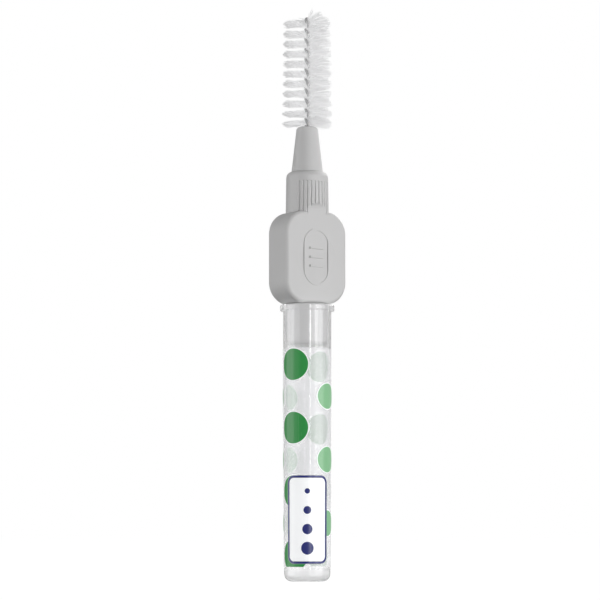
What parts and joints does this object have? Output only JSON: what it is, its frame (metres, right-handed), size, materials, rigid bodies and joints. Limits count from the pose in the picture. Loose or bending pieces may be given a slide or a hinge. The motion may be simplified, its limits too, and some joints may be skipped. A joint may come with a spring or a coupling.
{
  "type": "interdental brush",
  "caption": "Interdental brush: twisted wire with fanned bristles in a flat-sided handle, and a clear tube cap pushed on its plug.",
  "frame": {"origin": "centre of the cap's closed end, on which the brush stands upright", "axes": "+Z along the length towards the brush tip; the grip's flat faces look along -Y (front, with the raised ring) and +Y, and its width runs along X"},
  "size_m": [0.0118, 0.009, 0.0953],
  "materials": {
    "handle_plastic": "fine satin moulding",
    "wire_steel": "drawn wire",
    "coating_plastic": "smooth sleeve",
    "bristle_nylon": "fine white filament",
    "cap_plastic": "clear, polished mould",
    "label_film": "milky printed film"
  },
  "bodies": {
    "cap_body": {"cap": "cap_plastic", "cap_label": "label_film"},
    "brush_body": {"handle": "handle_plastic", "core_wire": "wire_steel", "wire_coating": "coating_plastic", "bristles": "bristle_nylon"}
  },
  "joints": [
    {"name": "cap_pull", "type": "slide", "parent": "cap_body", "child": "brush_body", "axis": [0, 0, 1], "range_m": [0, 0.012]}
  ]
}
